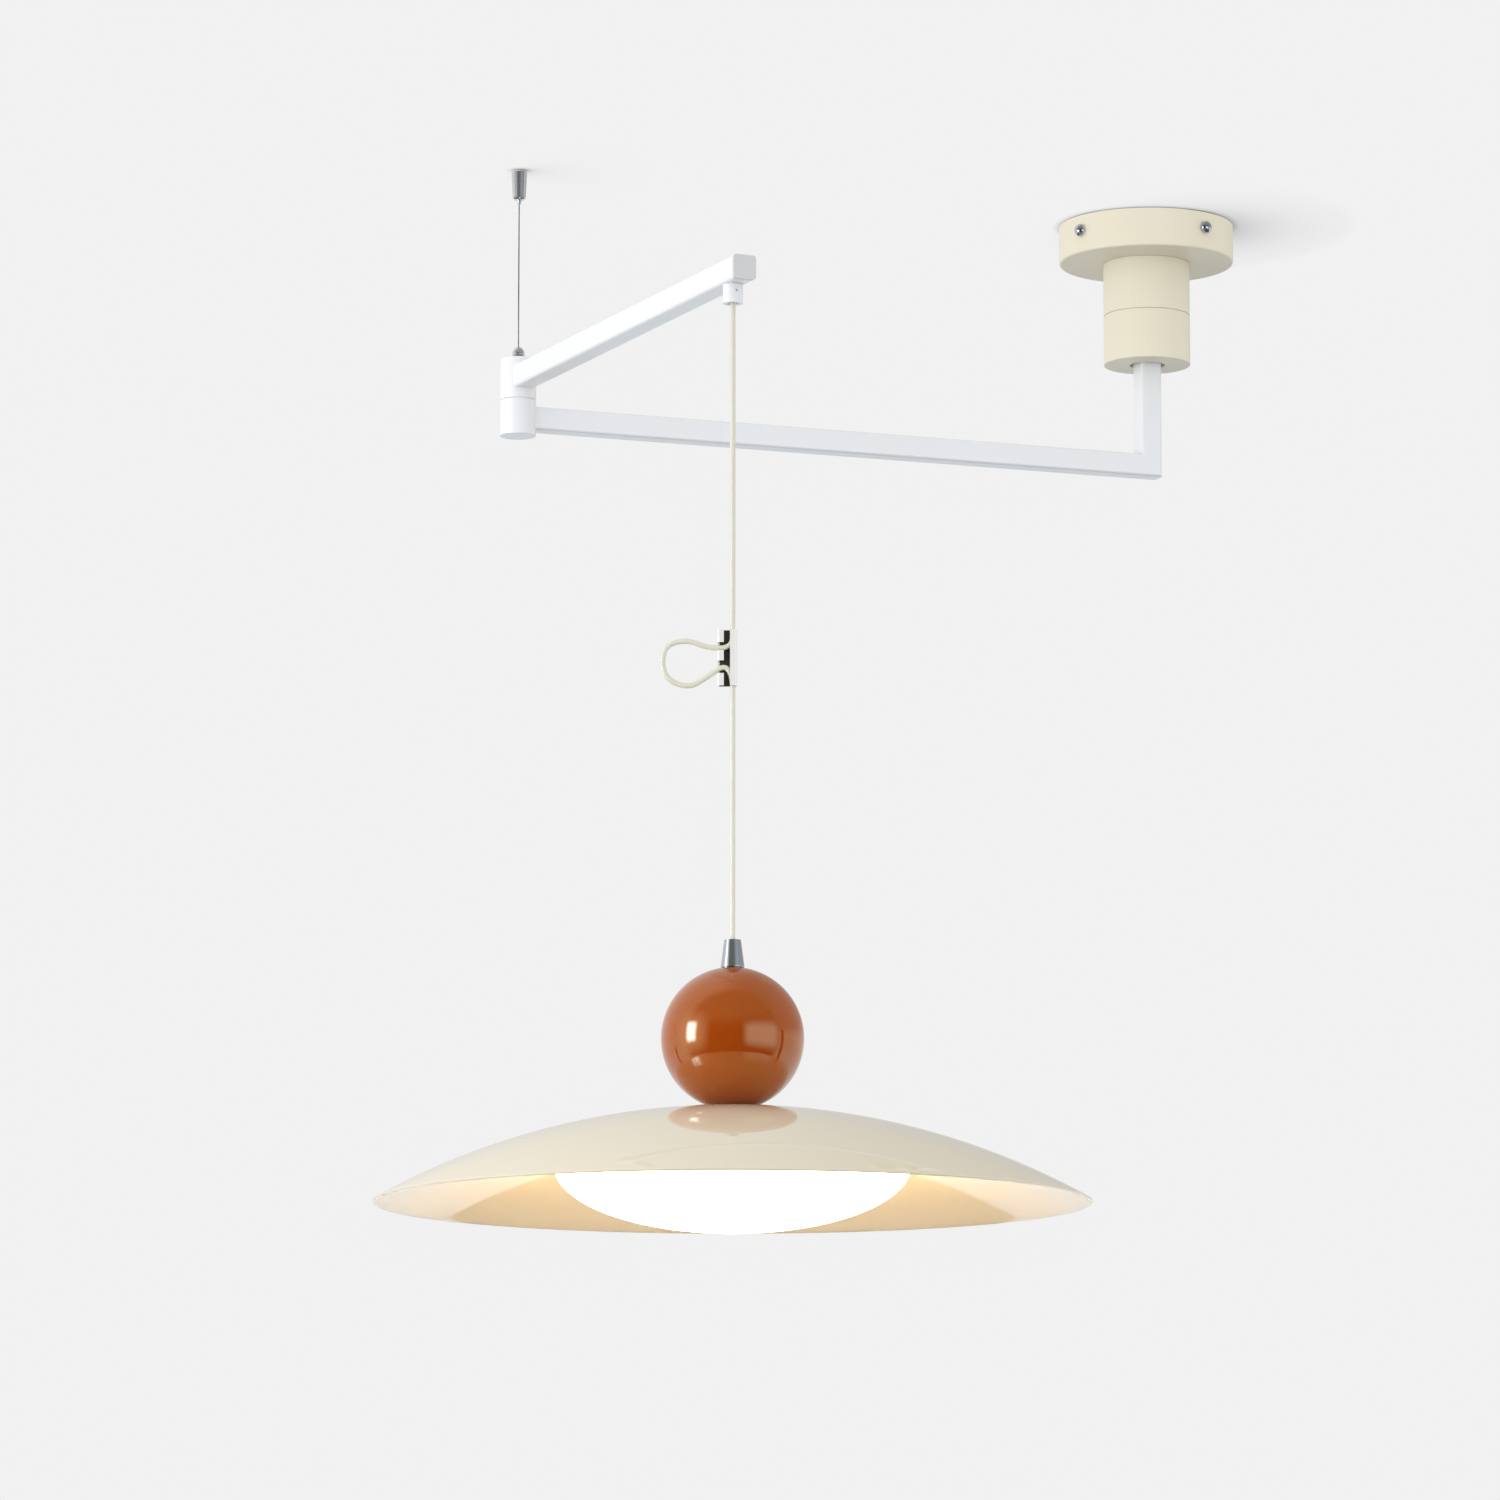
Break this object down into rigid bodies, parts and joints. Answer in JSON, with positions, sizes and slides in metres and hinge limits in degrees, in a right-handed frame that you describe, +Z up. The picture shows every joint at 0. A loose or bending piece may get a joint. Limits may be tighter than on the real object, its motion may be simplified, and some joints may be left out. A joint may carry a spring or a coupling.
{
  "type": "swing arm pendant light",
  "caption": "Ceiling pendant light on a jointed square-tube swing arm, with a round canopy, stay wire, cord adjusting clip, glossy ball and shallow dish shade over an opal lamp.",
  "frame": {"origin": "centre of the ceiling bracket's hole pattern, on the ceiling plane", "axes": "+Z up out of the ceiling face, the main arm along -X, the swing arm near -Y"},
  "size_m": [0.657, 0.5739, 0.6745],
  "materials": {
    "cream_paint": "satin powder coat",
    "white_paint": "satin powder coat",
    "chrome": "polished",
    "nickel": "bright nickel plate",
    "zinc_steel": "zinc plated",
    "wire_steel": "drawn wire rope",
    "bearing_nylon": "moulded",
    "terminal_plastic": "moulded",
    "cord_jacket": "smooth jacket",
    "liner_rubber": "matt",
    "ball_lacquer": "high gloss lacquer",
    "shade_paint": "gloss lacquer",
    "pan_paint": "white powder coat",
    "board_aluminium": "white solder mask",
    "led_lens": "clear lens",
    "driver_plastic": "moulded",
    "opal_plastic": "opal, lit from inside"
  },
  "bodies": {
    "canopy": {"mounting_bracket": "zinc_steel", "canopy_cup": "cream_paint", "canopy_screws": "chrome", "neck_upper": "cream_paint", "neck_screws": "zinc_steel", "swivel_bush": "bearing_nylon", "terminal_block": "terminal_plastic", "supply_lead": "cord_jacket"},
    "main_arm": {"neck_lower": "cream_paint", "neck_cap": "cream_paint", "arm_spigot": "zinc_steel", "thrust_washer": "bearing_nylon", "spring_washer": "zinc_steel", "lock_nut": "zinc_steel", "riser_tube": "white_paint", "main_arm_tube": "white_paint", "elbow_barrel_lower": "white_paint", "elbow_pivot": "zinc_steel", "elbow_washer": "bearing_nylon", "elbow_spring": "zinc_steel", "elbow_nut": "zinc_steel", "main_arm_lead": "cord_jacket", "wire_grip": "nickel", "steel_wire": "wire_steel", "ceiling_anchor": "chrome", "anchor_ferrule": "chrome"},
    "swing_arm": {"elbow_barrel_upper": "white_paint", "elbow_cap": "white_paint", "swing_arm_tube": "white_paint", "arm_end_plug": "white_paint", "cord_socket": "white_paint", "cord_lock_screw": "zinc_steel", "socket_nut": "zinc_steel", "swing_arm_lead": "cord_jacket"},
    "cord_top": {"cord_entry": "cord_jacket"},
    "hanging_cord": {"cord_upper": "cord_jacket", "cord_clip": "nickel", "clip_liner": "liner_rubber", "cord_loop": "cord_jacket", "cord_lower": "cord_jacket"},
    "pendant": {"cord_grip": "chrome", "ball": "ball_lacquer", "shade": "shade_paint", "pan_spacer": "zinc_steel", "lamp_pan": "pan_paint", "pan_nut": "zinc_steel", "pendant_stem": "zinc_steel", "led_board": "board_aluminium", "led_lamps": "led_lens", "driver_cover": "driver_plastic", "diffuser": "opal_plastic", "diffuser_screws": "zinc_steel"}
  },
  "joints": [
    {"name": "main_arm_swing", "type": "hinge", "parent": "canopy", "child": "main_arm", "pos_m": [0, 0, -0.0578], "axis": [0, 0, 1], "range_deg": [-175, 175]},
    {"name": "elbow_swing", "type": "hinge", "parent": "main_arm", "child": "swing_arm", "pos_m": [-0.42, 0, -0.1432], "axis": [0, 0, 1], "range_deg": [-265, 80]},
    {"name": "cord_sway_side", "type": "hinge", "parent": "swing_arm", "child": "cord_top", "pos_m": [-0.40059, -0.31741, -0.1455], "axis": [0, 1, 0], "range_deg": [-15, 15]},
    {"name": "cord_sway_front", "type": "hinge", "parent": "cord_top", "child": "hanging_cord", "pos_m": [-0.40059, -0.31741, -0.1555], "axis": [1, 0, 0], "range_deg": [-15, 15]},
    {"name": "pendant_height", "type": "slide", "parent": "hanging_cord", "child": "pendant", "axis": [0, 0, 1], "range_m": [0, 0.12], "deforming": ["cord_lower"]}
  ]
}
